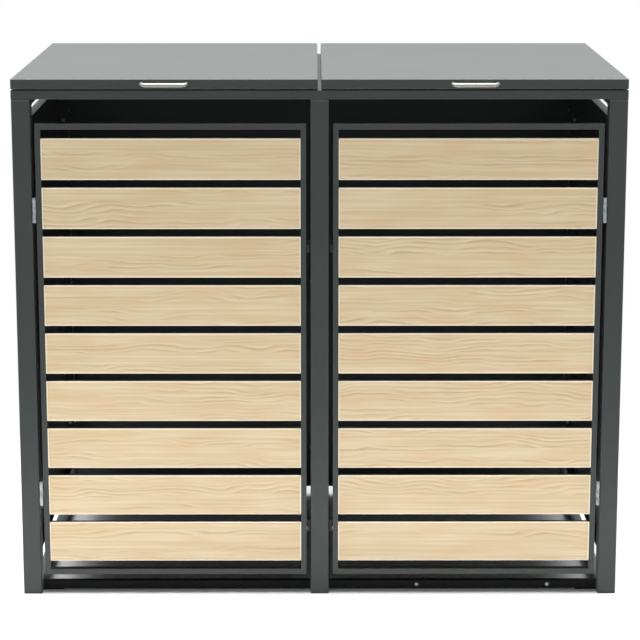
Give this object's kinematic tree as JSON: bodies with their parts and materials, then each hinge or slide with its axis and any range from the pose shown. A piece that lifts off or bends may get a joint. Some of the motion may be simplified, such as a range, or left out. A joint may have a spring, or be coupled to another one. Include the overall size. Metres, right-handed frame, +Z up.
{
  "type": "wheelie bin store",
  "caption": "Free-standing steel store for wheelie bins: slatted front doors below flap lids that lift by bow handles.",
  "frame": {"origin": "on the ground, under the middle of the overall box", "axes": "+X to the right for someone facing the doors, +Y to the back where the lids hinge, +Z up"},
  "size_m": [1.32, 0.855, 1.15],
  "materials": {
    "anthracite_coat": "satin powder coat on steel",
    "wood_decor": "matt pale wood-grain decor coat on folded steel",
    "zinc_plated_steel": "bright zinc plate",
    "satin_steel": "satin stainless steel bar",
    "black_plastic": "moulded, fine matt",
    "black_rubber": "self-adhesive rubber disc"
  },
  "bodies": {
    "frame": {"door_hinge_post_leaves": "zinc_plated_steel", "door_stops": "anthracite_coat", "frame_screws": "zinc_plated_steel", "front_left_post": "anthracite_coat", "front_middle_post": "anthracite_coat", "front_right_post": "anthracite_coat", "front_top_rail": "anthracite_coat", "hinge_pins": "zinc_plated_steel", "left_back_panel": "anthracite_coat", "left_bottom_rail": "anthracite_coat", "left_side_panel": "anthracite_coat", "left_threshold": "anthracite_coat", "left_top_rail": "anthracite_coat", "left_upper_side_rail": "anthracite_coat", "lid_hinge_rail_leaves": "zinc_plated_steel", "middle_top_rail": "anthracite_coat", "post_feet": "black_plastic", "rear_left_post": "anthracite_coat", "rear_middle_post": "anthracite_coat", "rear_right_post": "anthracite_coat", "rear_top_rail": "anthracite_coat", "right_back_panel": "anthracite_coat", "right_bottom_rail": "anthracite_coat", "right_side_panel": "anthracite_coat", "right_threshold": "anthracite_coat", "right_top_rail": "anthracite_coat", "right_upper_side_rail": "anthracite_coat", "rubber_buffers": "black_rubber"},
    "left_door": {"left_door_frame": "anthracite_coat", "left_slat_1": "wood_decor", "left_slat_2": "wood_decor", "left_slat_3": "wood_decor", "left_slat_4": "wood_decor", "left_slat_5": "wood_decor", "left_slat_6": "wood_decor", "left_slat_7": "wood_decor", "left_slat_8": "wood_decor", "left_slat_9": "wood_decor", "left_door_hinge_leaves": "zinc_plated_steel", "left_door_catches": "zinc_plated_steel"},
    "right_door": {"right_door_frame": "anthracite_coat", "right_slat_1": "wood_decor", "right_slat_2": "wood_decor", "right_slat_3": "wood_decor", "right_slat_4": "wood_decor", "right_slat_5": "wood_decor", "right_slat_6": "wood_decor", "right_slat_7": "wood_decor", "right_slat_8": "wood_decor", "right_slat_9": "wood_decor", "right_door_hinge_leaves": "zinc_plated_steel", "right_door_catches": "zinc_plated_steel"},
    "left_lid": {"left_lid": "anthracite_coat", "left_lid_hinge_leaves": "zinc_plated_steel", "left_handle": "satin_steel", "left_handle_screws": "zinc_plated_steel"},
    "right_lid": {"right_lid": "anthracite_coat", "right_lid_hinge_leaves": "zinc_plated_steel", "right_handle": "satin_steel", "right_handle_screws": "zinc_plated_steel"}
  },
  "joints": [
    {"name": "left_door_hinge", "type": "hinge", "parent": "frame", "child": "left_door", "pos_m": [-0.6155, -0.3945, 0.549], "axis": [0, 0, -1], "range_deg": [0, 165]},
    {"name": "right_door_hinge", "type": "hinge", "parent": "frame", "child": "right_door", "pos_m": [0.6155, -0.3945, 0.549], "axis": [0, 0, 1], "range_deg": [0, 165]},
    {"name": "left_lid_hinge", "type": "hinge", "parent": "frame", "child": "left_lid", "pos_m": [-0.332, 0.4108, 1.127], "axis": [-1, 0, 0], "range_deg": [0, 100]},
    {"name": "right_lid_hinge", "type": "hinge", "parent": "frame", "child": "right_lid", "pos_m": [0.332, 0.4108, 1.127], "axis": [-1, 0, 0], "range_deg": [0, 100]}
  ]
}
